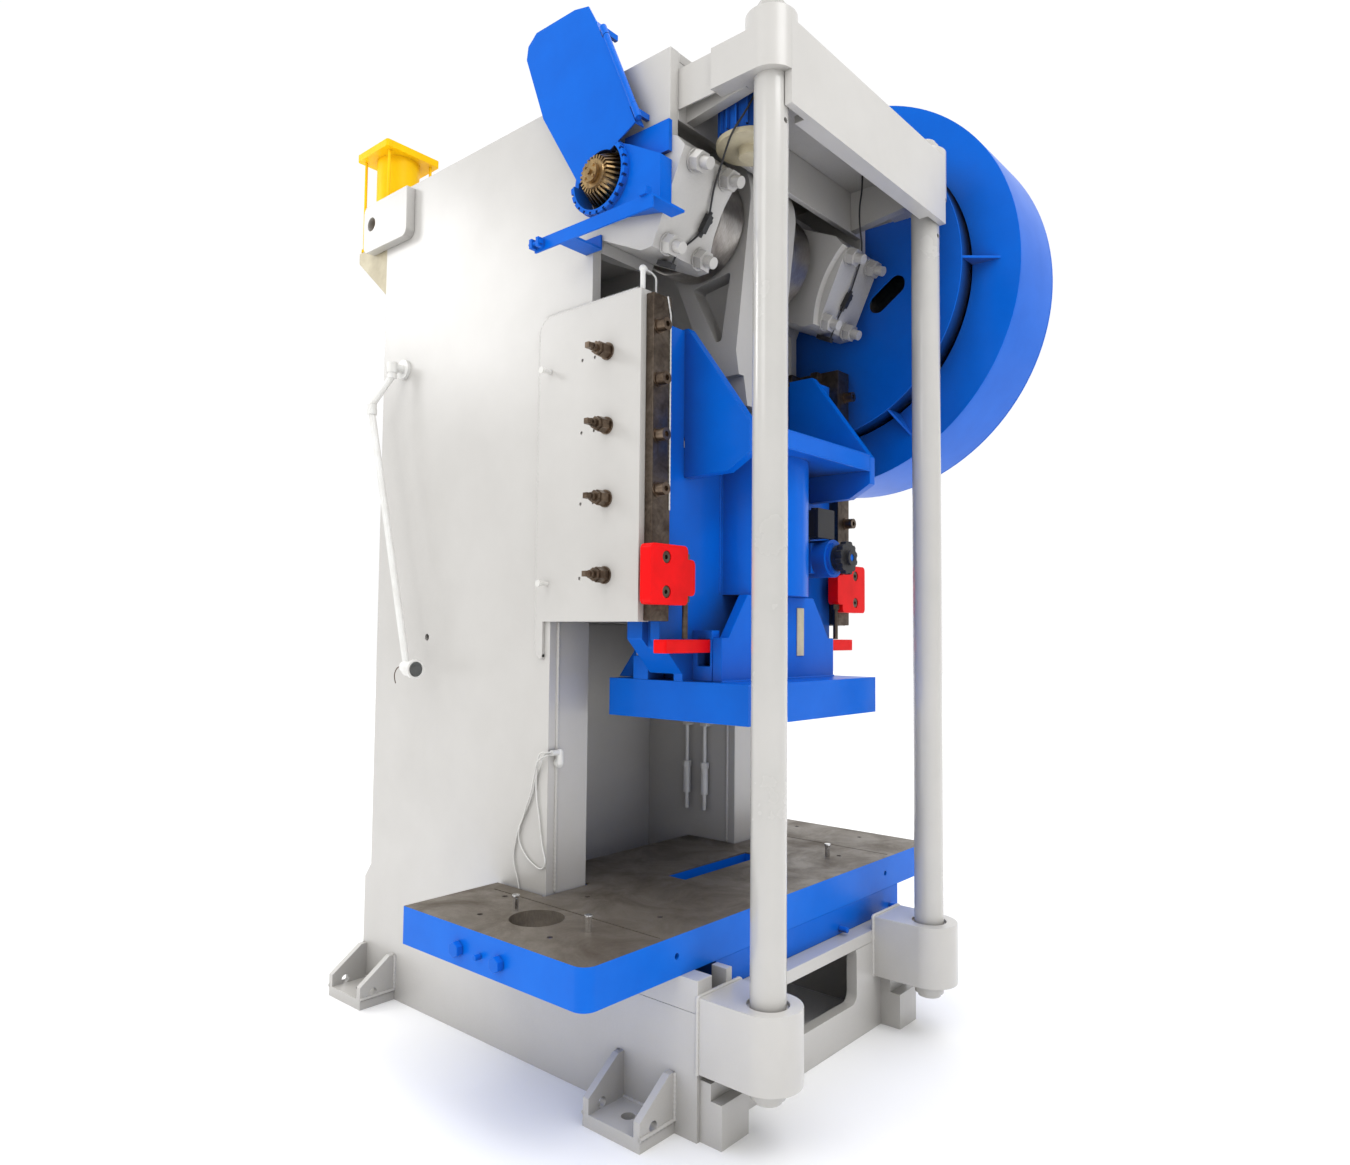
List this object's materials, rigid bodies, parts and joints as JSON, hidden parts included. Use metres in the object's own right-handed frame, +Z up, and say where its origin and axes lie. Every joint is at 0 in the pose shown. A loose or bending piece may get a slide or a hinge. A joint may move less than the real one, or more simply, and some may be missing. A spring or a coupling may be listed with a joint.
{
  "type": "mechanical stamping press",
  "caption": "Single-crank stamping press: open-front welded frame braced by two front columns, wide bolster, sliding ram with ball-ended connecting rod, drum-guarded gear.",
  "frame": {"origin": "floor point midway between the four anchor holes", "axes": "+Z up, -Y towards the open front, +X to the right seen from the front"},
  "size_m": [2.273, 2.538, 3.938],
  "materials": {
    "grey_paint": "satin pale grey paint",
    "cream_paint": "cream paint",
    "bare_plate": "ground and oiled steel; edges painted blue in the visual",
    "chrome": "polished",
    "blue_paint": "glossy blue paint",
    "bronze": "machined bronze",
    "bright_steel": "machined steel",
    "dark_steel": "oiled dark steel",
    "red_paint": "red paint",
    "black_plastic": "matt black",
    "white_cable": "white sheath",
    "brown_cable": "brown sheath",
    "white_paint": "white enamel",
    "lamp_lens": "clear",
    "yellow_paint": "yellow paint"
  },
  "bodies": {
    "frame": {"side_frame_right": "grey_paint", "side_frame_left": "grey_paint", "head_pads": "grey_paint", "uprights": "grey_paint", "bed_front_plate": "grey_paint", "bed_top_plate": "grey_paint", "inner_walls": "grey_paint", "rear_plates": "grey_paint", "roof_plate": "grey_paint", "feet": "grey_paint", "tie_rod_lugs": "grey_paint", "tie_rods": "grey_paint", "crown_frame": "grey_paint", "lifting_lugs": "grey_paint", "bolster": "bare_plate", "bolster_pins": "chrome", "riser_plate": "blue_paint", "bearing_housings": "grey_paint", "bearing_caps": "grey_paint", "cap_studs": "grey_paint", "cap_sensors": "black_plastic", "crank_bushes": "bronze", "stop_brackets": "red_paint", "stop_bolts": "dark_steel", "gibs": "dark_steel", "gib_bolts": "dark_steel", "gear_casing": "blue_paint", "sensor_arm": "blue_paint", "drum_guard": "blue_paint", "guard_plates": "blue_paint", "lamp_base": "white_paint", "air_cylinder": "yellow_paint", "shelves": "cream_paint", "adjust_motor": "blue_paint", "air_pipes": "white_paint", "cable_loop": "white_cable", "cable_drop": "white_cable", "lead_left": "black_plastic", "lead_right": "black_plastic", "grease_hose": "white_cable"},
    "crank": {"crankshaft": "bright_steel", "bevel_gear": "bronze", "bull_gear": "bright_steel"},
    "rod": {"connecting_rod": "grey_paint", "ball_screw": "bright_steel"},
    "ram": {"slide_body": "blue_paint", "slide_plate": "blue_paint", "slide_plates": "blue_paint", "ball_seat": "bronze", "slide_brackets": "blue_paint", "adjuster_box": "blue_paint", "switch_box": "black_plastic", "cream_plates": "cream_paint"},
    "knockout": {"knockout_bar": "red_paint"},
    "knob": {"adjuster_knob": "black_plastic"},
    "cover": {"guard_cover": "blue_paint"},
    "lamp_arm": {"lamp_upper": "white_paint"},
    "lamp_head": {"lamp_lower": "white_paint", "lamp_glass": "lamp_lens", "lamp_tail": "brown_cable"}
  },
  "joints": [
    {"name": "crank_turn", "type": "hinge", "parent": "frame", "child": "crank", "pos_m": [0, -0.57, 3.065], "axis": [-1, 0, 0], "range_deg": [0, 180]},
    {"name": "rod_pivot", "type": "hinge", "parent": "crank", "child": "rod", "pos_m": [0, -0.57, 3.145], "axis": [-1, 0, 0], "range_deg": [-180, 0]},
    {"name": "ram_stroke", "type": "slide", "parent": "frame", "child": "ram", "axis": [0, 0, 1], "range_m": [-0.16, 0]},
    {"name": "knockout_drop", "type": "slide", "parent": "ram", "child": "knockout", "axis": [0, 0, 1], "range_m": [-0.045, 0]},
    {"name": "knob_spin", "type": "hinge", "parent": "ram", "child": "knob", "pos_m": [0.33, -0.9, 1.822], "axis": [0, 1, 0], "continuous": true},
    {"name": "cover_swing", "type": "hinge", "parent": "frame", "child": "cover", "pos_m": [-0.702, -0.746, 3.204], "axis": [0, 0.4099, 0.9121], "range_deg": [0, 100]},
    {"name": "lamp_swivel", "type": "hinge", "parent": "frame", "child": "lamp_arm", "pos_m": [-0.706, 0.68, 2.615], "axis": [0, 0, 1], "range_deg": [-60, 0]},
    {"name": "lamp_elbow", "type": "hinge", "parent": "lamp_arm", "child": "lamp_head", "pos_m": [-0.76, 0.74, 2.446], "axis": [0, 0, 1], "range_deg": [-90, 0]}
  ],
  "couplings": [
    {"joint": "rod_pivot", "follows": "crank_turn", "ratio": -1},
    {"joint": "ram_stroke", "follows": "crank_turn", "m_per_rad": -0.050929}
  ]
}
